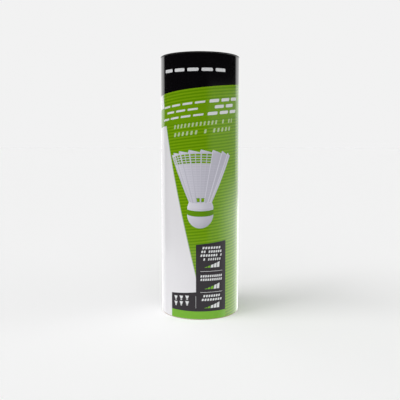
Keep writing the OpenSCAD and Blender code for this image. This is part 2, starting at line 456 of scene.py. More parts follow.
def board_material():
    """Wound grey-brown paperboard: plies on the cut ends, a spiral joint and fibres on the walls."""
    material, graph, shader = new_material("tube_board")
    place = graph.parts(graph.place())
    squares = [graph.calc("POWER", place[axis], 2.0) for axis in "XY"]
    radius = graph.calc("SQRT", graph.calc("ADD", *squares))
    turn = graph.calc("DIVIDE", graph.calc("ARCTAN2", place["Y"], place["X"]), FULL_TURN)
    climb = graph.calc("FRACT", graph.calc("SUBTRACT", graph.calc("DIVIDE", place["Z"], SPIRAL_PITCH), turn))
    joint = graph.ramp(graph.calc("ABSOLUTE", graph.calc("SUBTRACT", climb, 0.5)), 0.0, 0.006, 1.0, 0.0)
    plies = graph.calc("SINE", graph.times(radius, FULL_TURN / PLY))
    normal = graph.parts(graph.add("ShaderNodeNewGeometry").outputs["Normal"])
    cut_end = graph.calc("GREATER_THAN", graph.calc("ABSOLUTE", normal["Z"]), 0.7)
    grain = graph.group(shared("speckle"), Size=1500.0, Detail=4.0)
    brown = graph.mix(grain["Grain"], (0.36, 0.27, 0.19), (0.58, 0.47, 0.35))
    ply_line = graph.times(graph.linear(plies, 0.5, 0.5), cut_end)
    brown = graph.mix(graph.times(ply_line, 0.5), brown, (0.22, 0.16, 0.11))
    inner = graph.calc("LESS_THAN", radius, TUBE_RADIUS - TUBE_WALL + 0.2 * MM)
    liner = graph.mix(grain["Patch"], (0.72, 0.71, 0.68), (0.80, 0.79, 0.76))
    surface = graph.mix(graph.times(inner, graph.calc("SUBTRACT", 1.0, cut_end)), brown, liner)
    base = graph.mix(graph.times(joint, 0.45), surface, (0.30, 0.24, 0.18))
    height = graph.linear(joint, -0.8, grain["Grain"])
    coat(graph, shader, base, (grain["Grain"], 0.2, 0.7), (height, 0.05 * MM))
    return material


def nylon_material(look):
    """Milky injection-moulded nylon that lets some light through, with faint flow marks."""
    material, graph, shader = new_material("skirt_nylon")
    mapping = {"Vector": graph.place(), "Scale": (1.0, 1.0, 0.25)}
    stretched = graph.add("ShaderNodeMapping", mapping).outputs[0]
    flow = graph.noise(stretched, 320.0, 2.0)
    worn = graph.group(shared("edge wear"), Amount=0.3, Grain_size=1200.0)["Worn"]
    body = graph.mix(graph.times(flow, 0.6), look.nylon, scaled(look.nylon, 0.90))
    base = graph.mix(worn, body, (0.93, 0.93, 0.93))
    coat(graph, shader, base, (flow, 0.12, 0.30), (flow, 0.02 * MM))
    shader["Subsurface Weight"].default_value = 0.25
    shader["Subsurface Radius"].default_value = (1.0, 1.0, 1.0)
    shader["Subsurface Scale"].default_value = 1.2 * MM
    return material


def skin_material(look):
    """The head's smooth white cover, with the pores of a coated leather and painted shade darkening the
    creases between them.
    """
    material, graph, shader = new_material("head_skin")
    cells = {"Vector": graph.place(), "Scale": 1500.0, "Randomness": 1.0}
    pores = graph.add("ShaderNodeTexVoronoi", cells, feature="DISTANCE_TO_EDGE").outputs["Distance"]
    marks = graph.group(shared("handling"), Smudge_size=120.0, Scratch_size=600.0, Seed=7.0)
    crease = graph.ramp(pores, 0.0, 0.12)
    body = graph.mix(graph.times(marks["Smudge"], 0.25), look.skin, scaled(look.skin, 0.93))
    # Painted shade: the sunken crease lines are mixed towards grey, as if shade fell into them.
    crease_shade = graph.linear(crease, -0.12, 0.12)
    base = graph.mix(crease_shade, body, (0.55, 0.54, 0.52))
    coat(graph, shader, base, (crease, -0.12, 0.50), (crease, 0.03 * MM))
    return material


def ribbon_material(look):
    """A glossy woven ribbon."""
    material, graph, shader = new_material("head_ribbon")
    place = graph.parts(graph.place())
    turn = graph.calc("ARCTAN2", place["Y"], place["X"])
    across = graph.calc("SINE", graph.times(turn, HEAD_RADIUS * FULL_TURN / (0.5 * MM)))
    along = graph.calc("SINE", graph.times(place["Z"], FULL_TURN / (0.35 * MM)))
    weave = graph.linear(graph.times(across, along), 0.5, 0.5)
    base = graph.mix(weave, scaled(look.ribbon, 0.75), look.ribbon)
    coat(graph, shader, base, (weave, -0.1, 0.40), (weave, 0.03 * MM))
    return material


def cork_material():
    """Pressed cork granules."""
    material, graph, shader = new_material("pressed_cork")
    granules = graph.add("ShaderNodeTexVoronoi", {"Vector": graph.place(), "Scale": 520.0})
    grain = graph.group(shared("speckle"), Size=2600.0, Detail=3.0)
    tone = graph.add("ShaderNodeSeparateColor", {0: granules.outputs["Color"]}).outputs[0]
    body = graph.mix(tone, (0.40, 0.24, 0.12), (0.66, 0.47, 0.28))
    dark = graph.times(grain["Grain"], 0.3)
    base = graph.mix(dark, body, (0.25, 0.14, 0.07))
    coat(graph, shader, base, (grain["Grain"], 0.2, 0.70), (granules.outputs["Distance"], 0.1 * MM))
    return material


# ---------------------------------------------------------------- meshes

def close_up(bm):
    """Merges doubles and turns every face outwards."""
    bmesh.ops.remove_doubles(bm, verts=bm.verts, dist=0.001 * MM)
    bmesh.ops.recalc_face_normals(bm, faces=bm.faces)


def soften(bm, offset, segments=2, sharper_than=math.radians(40), edges=None):
    """Rounds the edges that turn by more than an angle."""
    joined = [e for e in (edges or bm.edges) if len(e.link_faces) == 2]
    sharp = [e for e in joined if e.calc_face_angle(0.0) > sharper_than]
    bmesh.ops.bevel(bm, geom=sharp, offset=offset, offset_type="OFFSET", segments=segments, profile=0.5,
                    affect="EDGES", clamp_overlap=True, material=-1)


def guarded(outline, margin):
    """Adds a point near both ends of each long side, so that rounded edges leave the flat walls flat."""
    points = []
    for (r0, z0), (r1, z1) in zip(outline, outline[1:] + outline[:1]):
        side = math.hypot(r1 - r0, z1 - z0)
        points.append((r0, z0))
        if side > 3 * margin:
            shares = (margin / side, 1 - margin / side)
            points += [(r0 + (r1 - r0) * share, z0 + (z1 - z0) * share) for share in shares]
    return points


def turn_outline(bm, outline, steps, closed=True, guard=0.0):
    """Spins an outline of (radius, height) points a full turn round the tube's axis."""
    points = guarded(outline, guard) if guard else outline
    verts = [bm.verts.new((radius, 0, height)) for radius, height in points]
    follow = verts[1:] + verts[:1] if closed else verts[1:]
    edges = [bm.edges.new(pair) for pair in zip(verts, follow) if any(v.co.x > 0 for v in pair)]
    bmesh.ops.spin(bm, geom=verts + edges, cent=(0, 0, 0), axis=(0, 0, 1), angle=FULL_TURN, steps=steps,
                   use_merge=True)
    close_up(bm)


def block(size, middle=(0, 0, 0)):
    """A new box with its size and its middle."""
    bm = bmesh.new()
    bmesh.ops.create_cube(bm, size=1.0)
    bmesh.ops.scale(bm, verts=bm.verts, vec=size)
    bmesh.ops.translate(bm, verts=bm.verts, vec=middle)
    return bm


def join_in(bm, part):
    """Adds a finished part to a mesh that holds several, and frees it."""
    mesh = bpy.data.meshes.new("part")
    part.to_mesh(mesh)
    part.free()
    bm.from_mesh(mesh)
    bpy.data.meshes.remove(mesh)


def join_ring(bm, part, count):
    """Adds a part and its copies, evenly spaced round the tube's axis."""
    everything = part.verts[:] + part.edges[:] + part.faces[:]
    steps = count - 1
    bmesh.ops.spin(part, geom=everything, cent=(0, 0, 0), axis=(0, 0, 1), angle=FULL_TURN * steps / count,
                   steps=steps, use_duplicate=True)
    join_in(bm, part)


def finish_piece(bm, name, material, body, slot, replaces=(), smooth=math.radians(35)):
    """Makes a finished piece: an object at the origin that rides on a body and has one material."""
    mesh = bpy.data.meshes.new(name)
    bm.to_mesh(mesh)
    bm.free()
    mesh.shade_smooth()
    mesh.set_sharp_from_angle(angle=smooth)
    mesh.materials.append(material)
    piece = bpy.data.objects.new(name, mesh)
    bpy.context.scene.collection.objects.link(piece)
    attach(piece, body)
    if replaces:
        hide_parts(*replaces)


def dress_node(node, material):
    """Gives a CAD node its finish."""
    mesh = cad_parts[node].data
    mesh.materials.clear()
    mesh.materials.append(material)


# Flat print. Shapes are laid out as (around, up) in millimetres, on the wrap cut open at the back,
# and lie at Y = 0 with -Y outwards until they are pressed round the tube.

STRIP = 1.2 * MM         # width of the strips that bend a flat shape round the tube
ON_WRAP = 0.005 * MM     # how far marks on the wrap lie off it
ON_INK = 0.03 * MM       # and marks that are printed over another mark


def flat_shape(bm, outline, rounding=0.0):
    """Adds one flat face, with its corners rounded."""
    part = bmesh.new()
    part.faces.new([part.verts.new((u * MM, 0, v * MM)) for u, v in outline])
    if rounding:
        bmesh.ops.bevel(part, geom=part.verts[:], offset=rounding * MM, offset_type="OFFSET", segments=3,
                        profile=0.5, affect="VERTICES", clamp_overlap=True, material=-1)
    join_in(bm, part)


def flat_box(bm, left, foot, right, top, rounding=0.0):
    """Adds one upright rectangle."""
    flat_shape(bm, [(left, foot), (right, foot), (right, top), (left, top)], rounding)


def leaning_bar(bm, left, foot, width, height, lean=0.0, rise=0.0, rounding=0.0):
    """Adds a bar whose sides lean and whose top and foot rise, as the print's slanting marks do."""
    shift = lean * height
    flat_shape(bm, [
        (left, foot),
        (left + width, foot + rise * width),
        (left + width + shift, foot + rise * width + height),
        (left + shift, foot + height),
    ], rounding)


def mark_line(bm, left, right, foot, height, words, slope=0.0, lean=0.12, fill=0.74):
    """Adds a row of small bars in clusters, where a line of lettering would stand."""
    places = sum(words) + len(words) - 1
    pitch = (right - left) / places
    spot = 0
    for word in words:
        for letter in range(word):
            width = pitch * (fill - 0.12 * ((spot * 5 + letter) % 3 == 1))
            u = left + pitch * spot
            rounding = 0.22 * min(width, height)
            leaning_bar(bm, u, foot + slope * (u - left), width, height, lean, slope, rounding)
            spot += 1
        spot += 1


def cut_strips(bm):
    """Cuts flat shapes into upright strips that are narrow enough to bend."""
    reach = [v.co.x for v in bm.verts]
    for cut in range(math.ceil(min(reach) / STRIP), math.floor(max(reach) / STRIP) + 1):
        everything = bm.verts[:] + bm.edges[:] + bm.faces[:]
        bmesh.ops.bisect_plane(bm, geom=everything, plane_co=(cut * STRIP, 0, 0), plane_no=(1, 0, 0))


def press_round(bm, proud, film):
    """Cuts flat shapes into strips, gives them the ink's thickness and bends them round the tube."""
    cut_strips(bm)
    raised = bmesh.ops.extrude_face_region(bm, geom=bm.faces[:], use_keep_orig=True)["geom"]
    tops = [v for v in raised if isinstance(v, bmesh.types.BMVert)]
    bmesh.ops.translate(bm, verts=tops, vec=(0, -film, 0))
    bmesh.ops.recalc_face_normals(bm, faces=bm.faces)
    bend_round(bm, proud)


def bend_round(bm, proud):
    """Bends a flat print round the tube: X becomes the way round, and -Y the way out."""
    for v in bm.verts:
        angle = v.co.x / WRAP_RADIUS
        radius = WRAP_RADIUS + proud - v.co.y
        v.co = (radius * math.sin(angle), -radius * math.cos(angle), v.co.z)


def print_piece(bm, name, material, proud=ON_WRAP, film=None):
    """Presses a flat print round the tube, in ink unless a film is given, and makes it a piece."""
    press_round(bm, proud, film or bpy.context.scene.tube_print.ink_film)
    finish_piece(bm, name, material, "tube_body", "wrap_print")


def sampled(start, end, steps):
    """Evenly spaced values from start to end."""
    return [start + (end - start) * i / steps for i in range(steps + 1)]


# ---------------------------------------------------------------- shuttlecock shapes

COLUMNS_PER_VANE = 8
NET_RIM = 3.9 * MM       # from the tips to the first row of openings
NET_PITCH = 2.6 * MM
NET_ROWS = 4
RIB_ROWS = 14
RIB_DEPTH = 0.12 * MM    # how far the ribs stand out of the closed part of a vane
VENT_FOOT = 6.1 * MM     # below the waist
VENT_TOP = 1.4 * MM
LAP_LENGTH = 4.0 * MM    # of the ribbon's end over its start
LAP_PROUD = 0.10 * MM
PLUG_INSET = 5.0 * MM    # of the plug's ring, from halfway between the waist and the head's edge
STEM_TAPER = (0.80, 0.75)  # a stem's width and depth at the tips, against those at the waist


class ShuttleShape:
    """The sizes of one shuttlecock, measured from its tips."""

    def __init__(self, look):
        self.look = look
        self.head_flat = CROWN - (SKIN_HIGH.z - SKIN_LOW.z)
        self.waist = self.head_flat - look.collar_height
        self.fall = (TIP_RADIUS - look.waist_radius) / self.waist
        self.dome = CROWN - HEAD_RADIUS

    def radius(self, height):
        """Outer radius over the stems."""
        return TIP_RADIUS - self.fall * height

    def rows(self):
        """Heights of the lines between the rows of the net, from the tips to the waist."""
        net_top = NET_RIM + NET_ROWS * NET_PITCH
        vent = self.waist - VENT_FOOT
        net = [NET_RIM + row * NET_PITCH for row in range(NET_ROWS)]
        return [0.0] + net + sampled(net_top, vent, RIB_ROWS) + [self.waist - VENT_TOP, self.waist]


def cell(bm, faces, bar, depth=0.0):
    """Joins neighbouring faces into one cell and frames it with bars; gives back the cell inside."""
    joined = bmesh.utils.face_join(faces)
    bmesh.ops.inset_individual(bm, faces=[joined], thickness=bar, depth=depth, use_even_offset=True)
    return joined


def add_vanes(bm, shape, is_open=lambda middle: True):
    """The skirt's thin cone: a net of bars, openings near the tips and over the waist, and a saw edge."""
    look = shape.look
    rows = shape.rows()
    columns = look.stems * COLUMNS_PER_VANE
    turn_outline(bm, [(shape.radius(z) - look.stem_proud, z) for z in rows], columns, closed=False)

    def column_of(point):
        return (math.atan2(point.y, point.x) % FULL_TURN) / FULL_TURN * columns

    table = {}
    for face in bm.faces:
        middle = face.calc_center_median()
        row = sum(z < middle.z for z in rows) - 1
        table[row, int(column_of(middle))] = face

    saw_step = look.saw / (COLUMNS_PER_VANE - 1)
    for v in bm.verts:
        if v.co.z < 0.1 * MM:
            v.co.z += round(column_of(v.co)) % COLUMNS_PER_VANE * saw_step

    openings = []
    half = COLUMNS_PER_VANE // 2
    vent_row = len(rows) - 3
    for vane in range(look.stems):
        first = vane * COLUMNS_PER_VANE
        for row in range(1, vent_row):
            for side in (0, half):
                faces = [table[row, first + side + i] for i in range(half)]
                if row <= NET_ROWS:
                    openings.append(cell(bm, faces, look.bar))
                else:
                    cell(bm, faces, 0.6 * look.bar, -RIB_DEPTH)
        faces = [table[vent_row, first + i] for i in range(1, COLUMNS_PER_VANE - 1)]
        openings.append(cell(bm, faces, 0.4 * look.bar))
    bmesh.ops.delete(bm, geom=[f for f in openings if is_open(f.calc_center_median())], context="FACES")
    bmesh.ops.recalc_face_normals(bm, faces=bm.faces)
    bmesh.ops.solidify(bm, geom=bm.faces[:], thickness=look.vane)


def add_stems(bm, shape):
    """Tapering stems that run down the outside of the vanes from the waist to the tips."""
    look = shape.look
    stem = block((1, 1, 1))
    for v in stem.verts:
        at_tip = v.co.z < 0
        height = 0.0 if at_tip else shape.waist
        taper = STEM_TAPER if at_tip else (1.0, 1.0)
        width = look.stem_width * taper[0]
        depth = look.stem_depth * taper[1]
        v.co = (shape.radius(height) - (0.0 if v.co.x > 0 else depth), v.co.y * width, height)
    soften(stem, 0.22 * MM)
    join_ring(bm, stem, look.stems)


def add_collar(bm, shape):
    """The collar that flares from the waist to the head, its web, and the ring that plugs into the core."""
    look = shape.look
    wall = look.collar_wall
    edge = HEAD_RADIUS - GLUE
    plug = (edge + look.waist_radius) / 2 - PLUG_INSET
    web = shape.head_flat - wall
    waist = look.waist_radius + 0.05 * MM
    collar = bmesh.new()
    turn_outline(collar, [
        (look.waist_radius - wall, shape.waist - 0.4 * MM),
        (waist, shape.waist - 0.4 * MM),
        (waist, shape.waist + 0.3 * MM),
        (edge, web - 0.4 * MM),
        (edge, shape.head_flat),
        (plug, shape.head_flat),
        (plug, PLUG_TOP),
        (plug - wall, PLUG_TOP),
        (plug - wall, shape.head_flat),
        (0, shape.head_flat),
        (0, web),
        (edge - 2 * wall, web),
    ], 96, guard=0.4 * MM)
    soften(collar, 0.3 * MM, segments=3, sharper_than=math.radians(25))
    join_in(bm, collar)


def add_head_skin(bm, shape):
    """The head's cover: straight at its foot, round at its crown, and hollow for the core."""
    inner = CORE_RADIUS + GLUE
    foot = shape.head_flat + GLUE
    quarter = sampled(0.0, math.pi / 2, 20)
    outline = [(HEAD_RADIUS, shape.head_flat + 0.4 * MM), (HEAD_RADIUS - 0.12 * MM, foot), (inner, foot)]
    for radius, angles in ((inner, quarter), (HEAD_RADIUS, reversed(quarter))):
        outline += [(radius * math.cos(a), shape.dome + radius * math.sin(a)) for a in angles]
    turn_outline(bm, [(r if r > 0.001 * MM else 0.0, z) for r, z in outline], 96)


def add_ribbon(bm, shape):
    """The ribbon round the foot of the head, with its end lapped over its start."""
    low, high = BAND_LOW.z - TIP_Z, BAND_HIGH.z - TIP_Z
    inner = HEAD_RADIUS + 0.03 * MM
    outer = BAND_HIGH.x
    turn_outline(bm, [(inner, low), (outer, low), (outer, high), (inner, high)], 128, guard=0.2 * MM)
    soften(bm, 0.08 * MM)
    lap = block((1, 1, 1))
    long_edges = [e for e in lap.edges if abs(e.verts[0].co.x - e.verts[1].co.x) > 0.5]
    bmesh.ops.subdivide_edges(lap, edges=long_edges, cuts=6, use_grid_fill=True)
    for v in lap.verts:
        angle = v.co.x * LAP_LENGTH / outer
        radius = outer + (LAP_PROUD if v.co.y < 0 else -LAP_PROUD)
        height = (low + high) / 2 + v.co.z * (high - low) * 0.99
        v.co = (radius * math.sin(angle), radius * math.cos(angle), height)
    bmesh.ops.recalc_face_normals(lap, faces=lap.faces)
    join_in(bm, lap)


# ---------------------------------------------------------------- printed shuttlecock

PICTURE_WIDTH = 0.853            # across, against the real shuttlecock
PICTURE_TOP = 142.5 * MM         # height of the pictured tips at its two sides
PICTURE_LEAN = 1.1 * MM          # how far the tips stand right of the head
PICTURE_LENGTH = (0.62, 1.5)     # share of the real length at the tips, and its gain for each metre
PICTURE_VIEW = (-0.15, 4.6)      # how much nearer points drop at the tips, and its gain for each metre
PICTURE_OPEN = 11 * MM           # openings show as far right as this


def shaded(bm, towards):
    """Writes each point's printed tone from the way that it faces, from 0 in shade to 1 in light."""
    layer = bm.verts.layers.float.new("tone")
    for v in bm.verts:
        rim = 1.0 - abs(v.normal.dot(Vector((0, -1, 0))))
        v[layer] = max(0.0, min(1.0, 0.35 + 0.45 * v.normal.dot(towards) + 0.55 * rim ** 3))


def add_pictured_vanes(bm, shape):
    """Vanes whose openings show only where the pictured light comes through them."""
    vent = shape.waist - VENT_FOOT

    def is_open(middle):
        return middle.x < PICTURE_OPEN if middle.z < vent else abs(middle.x) < 3 * MM

    add_vanes(bm, shape, is_open)


def flatten_picture(bm, layer_foot, layer_depth):
    """Keeps the half that faces out, turns it head down and presses it to the thickness of the ink."""
    everything = bm.verts[:] + bm.edges[:] + bm.faces[:]
    bmesh.ops.bisect_plane(bm, geom=everything, plane_co=(0, -0.2 * MM, 0), plane_no=(0, 1, 0),
                           clear_outer=True)
    back = [f for f in bm.faces if f.normal.y > 0.0]
    bmesh.ops.delete(bm, geom=back, context="FACES")
    bmesh.ops.delete(bm, geom=[v for v in bm.verts if not v.link_faces], context="VERTS")
    for v in bm.verts:
        near, down = -v.co.y, v.co.z
        u = v.co.x * PICTURE_WIDTH + PICTURE_LEAN * (1 - down / CROWN)
        drop = down * (PICTURE_LENGTH[0] + PICTURE_LENGTH[1] * down)
        drop += near * (PICTURE_VIEW[0] + PICTURE_VIEW[1] * down)
        v.co = (u, -(layer_foot + layer_depth * near / TIP_RADIUS), PICTURE_TOP - drop)
    cut_strips(bm)
    bend_round(bm, 0.0)


# ---------------------------------------------------------------- caps

def groove(inner, outer, level, depth, slant=0.0):
    """Outline points of a groove in a level panel, or of a raised ring if its depth is negative."""
    return [(inner, level), (inner + slant, level - depth), (outer - slant, level - depth), (outer, level)]


# ---------------------------------------------------------------- operators

class TUBE_OT_wrap(Operator):
    """Make the printed wrap, with its lapped joint at the back"""
    bl_idname = "tube.wrap"
    bl_label = "Wrap"

    def execute(self, context):
        look = context.scene.tube_print
        material = wrap_material(look)
        bm = bmesh.new()
        inner, outer = TUBE_RADIUS + 0.01 * MM, WRAP_RADIUS
        low, high = WRAP_LOW.z, WRAP_HIGH.z
        turn_outline(bm, [(inner, low), (outer, low), (outer, high), (inner, high)], 256, guard=0.2 * MM)
        soften(bm, 0.05 * MM)
        finish_piece(bm, "wrap_print", material, "tube_body", "wrap_print", ["wrap"])

        lap = bmesh.new()
        back = -math.pi * WRAP_RADIUS / MM
        flat_box(lap, back, low / MM, back + WRAP_LAP, high / MM)
        print_piece(lap, "wrap_lap", material, proud=0.0, film=PAPER_FILM)
        return {"FINISHED"}


class TUBE_OT_board(Operator):
    """Finish the paperboard tube"""
    bl_idname = "tube.board"
    bl_label = "Board"

    def execute(self, context):
        dress_node("tube", board_material())
        return {"FINISHED"}


class TUBE_OT_panel(Operator):
    """Print the charcoal information panel and the bright strip under it"""
    bl_idname = "tube.panel"
    bl_label = "Information panel"

    def execute(self, context):
        look = context.scene.tube_print
        left, step, right, foot = -27.5, -3.5, 24, 7.5
        outline = [(left, foot), (right, foot), (right, 69), (step, 66), (step, 24.5), (left, 22)]
        panel = bmesh.new()
        flat_shape(panel, outline)
        charcoal = ink_material("charcoal_ink", look.charcoal, gloss=0.2)
        print_piece(panel, "ink_panel", charcoal)

        strip = bmesh.new()
        flat_box(strip, left, WRAP_LOW.z / MM + 0.1, right, foot)
        print_piece(strip, "ink_strip", ink_material("bright_green_ink", look.bright_green))
        return {"FINISHED"}


class TUBE_OT_marks(Operator):
    """Print the marks that stand in place of lettering"""
    bl_idname = "tube.marks"
    bl_label = "Marks"

    def execute(self, context):
        look = context.scene.tube_print
        white = ink_material("white_ink", look.ink_white)

        title = bmesh.new()
        first, pitch, foot, width, height = -35.0, 12.1, 212.5, 9.6, 2.7
        for dash in range(5):
            leaning_bar(title, first + pitch * dash, foot, width, height, rounding=height / 3)
        print_piece(title, "ink_title", white)

        headline = bmesh.new()
        pitch, row_pitch, width = 11.0, 5.3, 8.8
        for start, dashes, height in ((-39.0, 4, 1.7), (6.2, 3, 2.7)):
            for row in range(3):
                for dash in range(dashes - row % 2):
                    left = start + pitch * (dash + 0.5 * (row % 2))
                    foot = 176.5 + look.slope * left + row_pitch * row - height / 2
                    left += 0.8 * row
                    leaning_bar(headline, left, foot, width, height, 0.15, look.slope, 0.32 * height)
        print_piece(headline, "ink_headline", white)

        subtitle = bmesh.new()
        for foot, words, right in ((164.6, (12, 1, 2), 33.0), (157.9, (6, 1, 5), 30.5)):
            mark_line(subtitle, -24, right, foot, 3.4, words, look.slope, 0.2, 0.46)
        print_piece(subtitle, "ink_subtitle", ink_material("pale_ink", look.ink_pale))

        captions = bmesh.new()
        for foot, left, right, words in (
            (62.3, 2.0, 19.0, (7,)),
            (59.0, 1.0, 20.0, (2, 6)),
            (55.7, 0.3, 20.5, (7, 1)),
            (52.3, 2.8, 19.2, (1, 6)),
            (37.6, 0.3, 20.5, (10,)),
            (34.5, 0.3, 20.5, (10,)),
            (20.1, 2.8, 18.6, (7,)),
            (16.8, 1.4, 20.5, (8,)),
        ):
            mark_line(captions, left, right, foot, 2.0, words, 0.0, 0.2, 0.66)
        for height in (42.8, 24.4):
            flat_box(captions, 0.3, height - 0.15, 20.5, height + 0.15)
        flat_box(captions, -3.75, 10.3, -3.5, 21)
        print_piece(captions, "ink_captions", white, ON_INK)
        return {"FINISHED"}


class TUBE_OT_gauges(Operator):
    """Print the three gauges of rising bars and the row of small shuttlecocks"""
    bl_idname = "tube.gauges"
    bl_label = "Gauges and count"

    def execute(self, context):
        look = context.scene.tube_print
        marks = {"white": bmesh.new(), "green": bmesh.new()}
        first, pitch = 3.6, 2.85
        for foot, greens in ((46.1, (0, 1)), (27.2, (0, 1, 2)), (10.3, (0, 1))):
            for bar in range(5):
                left = first + pitch * bar
                low, high = bar + 0.15, bar + 0.9
                corners = [(0, 0), (2.4, 0), (2.7, high), (0.5, low)]
                tone = "green" if bar in greens else "white"
                flat_shape(marks[tone], [(left + u, foot + v) for u, v in corners], 0.12)
        for column in range(3):
            for row in range(2):
                across = 5.6 * column
                u, v = across - 22.6, 10.9 + 4.9 * row + look.slope * across
                skirt = [(-0.75, 1.5), (0.75, 1.5), (1.75, 4.1), (-1.75, 4.1)]
                flat_shape(marks["white"], [(u + x, v + y) for x, y in skirt], 0.1)
                half_circle = sampled(math.pi, FULL_TURN, 8)
                head = [(0.9 * math.cos(a), 1.15 + 0.9 * math.sin(a)) for a in half_circle]
                flat_shape(marks["white"], [(u + x, v + y) for x, y in head])
        for tone, value in (("white", look.ink_white), ("green", look.bright_green)):
            material = ink_material("gauge_" + tone, value)
            print_piece(marks[tone], "ink_gauges_" + tone, material, ON_INK)
        return {"FINISHED"}


class TUBE_OT_back_print(Operator):
    """Print the small table and the lines of marks on the white back"""
    bl_idname = "tube.back_print"
    bl_label = "Back print"

    def execute(self, context):
        look = context.scene.tube_print
        marks = bmesh.new()
        for line in range(12):
            words = ((6, 3, 7), (4, 8, 3), (7, 5), (3, 6, 5))[line % 4]
            left, right = 0.3 * (line % 3) - 84, -52 - 2.5 * (line % 4)
            mark_line(marks, left, right, 118 - 4.2 * line, 1.7, words, 0.0, 0.1, 0.7)
        cell_pitch = 6.4
        for row in range(4):
            for column in range(5):
                left, foot = cell_pitch * column - 82, cell_pitch * row + 30
                if column <= row + 1:
                    flat_box(marks, left, foot, left + 4.6, foot + 4.2, 0.8)
        print_piece(marks, "ink_back", ink_material("grey_ink", look.charcoal))
        return {"FINISHED"}


class TUBE_OT_picture(Operator):
    """Print the picture of a shuttlecock on the front"""
    bl_idname = "tube.picture"
    bl_label = "Picture"

    def execute(self, context):
        look = context.scene.tube_shuttle
        shape = ShuttleShape(look)
        light = Vector((-0.5, -0.3, -0.6)).normalized()
        white = (look.picture_shade, look.picture_light)
        green = (look.picture_ribbon, scaled(look.picture_ribbon, 1.8))
        layers = (
            ("vanes", (add_pictured_vanes,), 0.008, 0.010, white),
            ("stems", (add_stems, add_collar), 0.026, 0.006, white),
            ("head", (add_head_skin,), 0.008, 0.010, white),
            ("band", (add_ribbon,), 0.026, 0.006, green),
        )
        for name, makers, foot, depth, tones in layers:
            bm = bmesh.new()
            for maker in makers:
                maker(bm, shape)
            bm.normal_update()
            shaded(bm, light)
            flatten_picture(bm, foot * MM, depth * MM)
            material = picture_material("picture_" + name, *tones)
            finish_piece(bm, "picture_" + name, material, "tube_body", "wrap_print")
        return {"FINISHED"}


class TUBE_OT_lid(Operator):
    """Make the plug lid with its flange, sunk panel, ring and grip ribs"""
    bl_idname = "tube.lid"
    bl_label = "Lid"

    def execute(self, context):
        look = context.scene.tube_caps
        top, foot = LID_HIGH.z, LID_LOW.z
        plug = TUBE_RADIUS - TUBE_WALL - LID_GAP
        cup = plug - look.wall
        panel = foot + look.panel
        ring = look.ring_radius
        bm = bmesh.new()
        turn_outline(bm, [
            (0, panel),
            *groove(2.2 * MM, 3.6 * MM, panel, look.gate_depth, slant=0.2 * MM),
            *groove(ring - 1.4 * MM, ring, panel, -0.6 * MM),
            (cup, panel),
            (cup, top),
            (LID_HIGH.x, top),
            (LID_HIGH.x, top - look.flange),
            (plug, top - look.flange),
            (plug, foot),
            (0, foot),
        ], 192, guard=0.5 * MM)
        outer = [e for e in bm.edges if all(v.co.xy.length > LID_HIGH.x - 0.01 * MM for v in e.verts)]
        soften(bm, look.rounding, segments=4, edges=outer)
        soften(bm, 0.2 * MM)

        rib_height = top - panel - 1.4 * MM
        rib = block((0.9 * MM, 1.2 * MM, rib_height), (cup, 0, (top + panel) / 2 - 0.5 * MM))
        soften(rib, 0.3 * MM)
        join_ring(bm, rib, look.ribs)
        plastic = cap_material("lid_plastic", look.lid_colour, 0.02 * MM)
        finish_piece(bm, "lid_plug", plastic, "lid_body", "lid_plastic", ["lid"])
        return {"FINISHED"}


class TUBE_OT_base(Operator):
    """Make the sunk base with the rings under its panel"""
    bl_idname = "tube.base"
    bl_label = "Base"

    def execute(self, context):
        look = context.scene.tube_caps
        cup = BASE_HIGH.x - look.wall
        under = BASE_HIGH.z - look.panel
        ring = look.base_ring
        bm = bmesh.new()
        turn_outline(bm, [
            (0, under),
            *groove(1.6 * MM, 2.8 * MM, under, look.gate_depth, slant=0.2 * MM),
            *groove(ring, ring + 1.0 * MM, under, 0.5 * MM),
            (cup, under),
            (cup, BASE_LOW.z),
            (BASE_HIGH.x, BASE_LOW.z),
            (BASE_HIGH.x, BASE_HIGH.z),
            (0, BASE_HIGH.z),
        ], 160, guard=0.4 * MM)
        soften(bm, 0.15 * MM)
        spoke = block((cup - ring, 0.8 * MM, 1.0 * MM), ((cup + ring) / 2, 0, under))
        soften(spoke, 0.15 * MM)
        join_ring(bm, spoke, look.spokes)
        plastic = cap_material("base_plastic", look.base_colour, 0.03 * MM)
        finish_piece(bm, "base_cup", plastic, "tube_body", "base_plastic", ["base"])
        return {"FINISHED"}


class TUBE_OT_skirts(Operator):
    """Mould the skirts of the shuttlecocks"""
    bl_idname = "tube.skirts"
    bl_label = "Skirts"

    def execute(self, context):
        look = context.scene.tube_shuttle
        shape = ShuttleShape(look)
        nylon = nylon_material(look)
        mould = bmesh.new()
        add_vanes(mould, shape)
        add_stems(mould, shape)
        add_collar(mould, shape)
        for k in SHUTTLES:
            bm = mould.copy()
            node = f"shuttle_{k}_skirt"
            bmesh.ops.translate(bm, verts=bm.verts, vec=(0, 0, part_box(node)[0].z))
            finish_piece(bm, f"skirt_{k}", nylon, f"shuttle_{k}", "nylon", [node], smooth=math.radians(28))
        mould.free()
        return {"FINISHED"}


class TUBE_OT_heads(Operator):
    """Make the heads: skins, ribbons and cork cores"""
    bl_idname = "tube.heads"
    bl_label = "Heads"

    def execute(self, context):
        look = context.scene.tube_shuttle
        shape = ShuttleShape(look)
        cork = cork_material()
        pieces = (
            ("skin", add_head_skin, skin_material(look), "head_skin"),
            ("band", add_ribbon, ribbon_material(look), "ribbon"),
        )
        for k in SHUTTLES:
            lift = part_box(f"shuttle_{k}_skirt")[0].z
            for piece, maker, material, slot in pieces:
                bm = bmesh.new()
                maker(bm, shape)
                bmesh.ops.translate(bm, verts=bm.verts, vec=(0, 0, lift))
                finish_piece(bm, f"{piece}_{k}", material, f"shuttle_{k}", slot, [f"shuttle_{k}_{piece}"])
            dress_node(f"shuttle_{k}_core", cork)
        return {"FINISHED"}


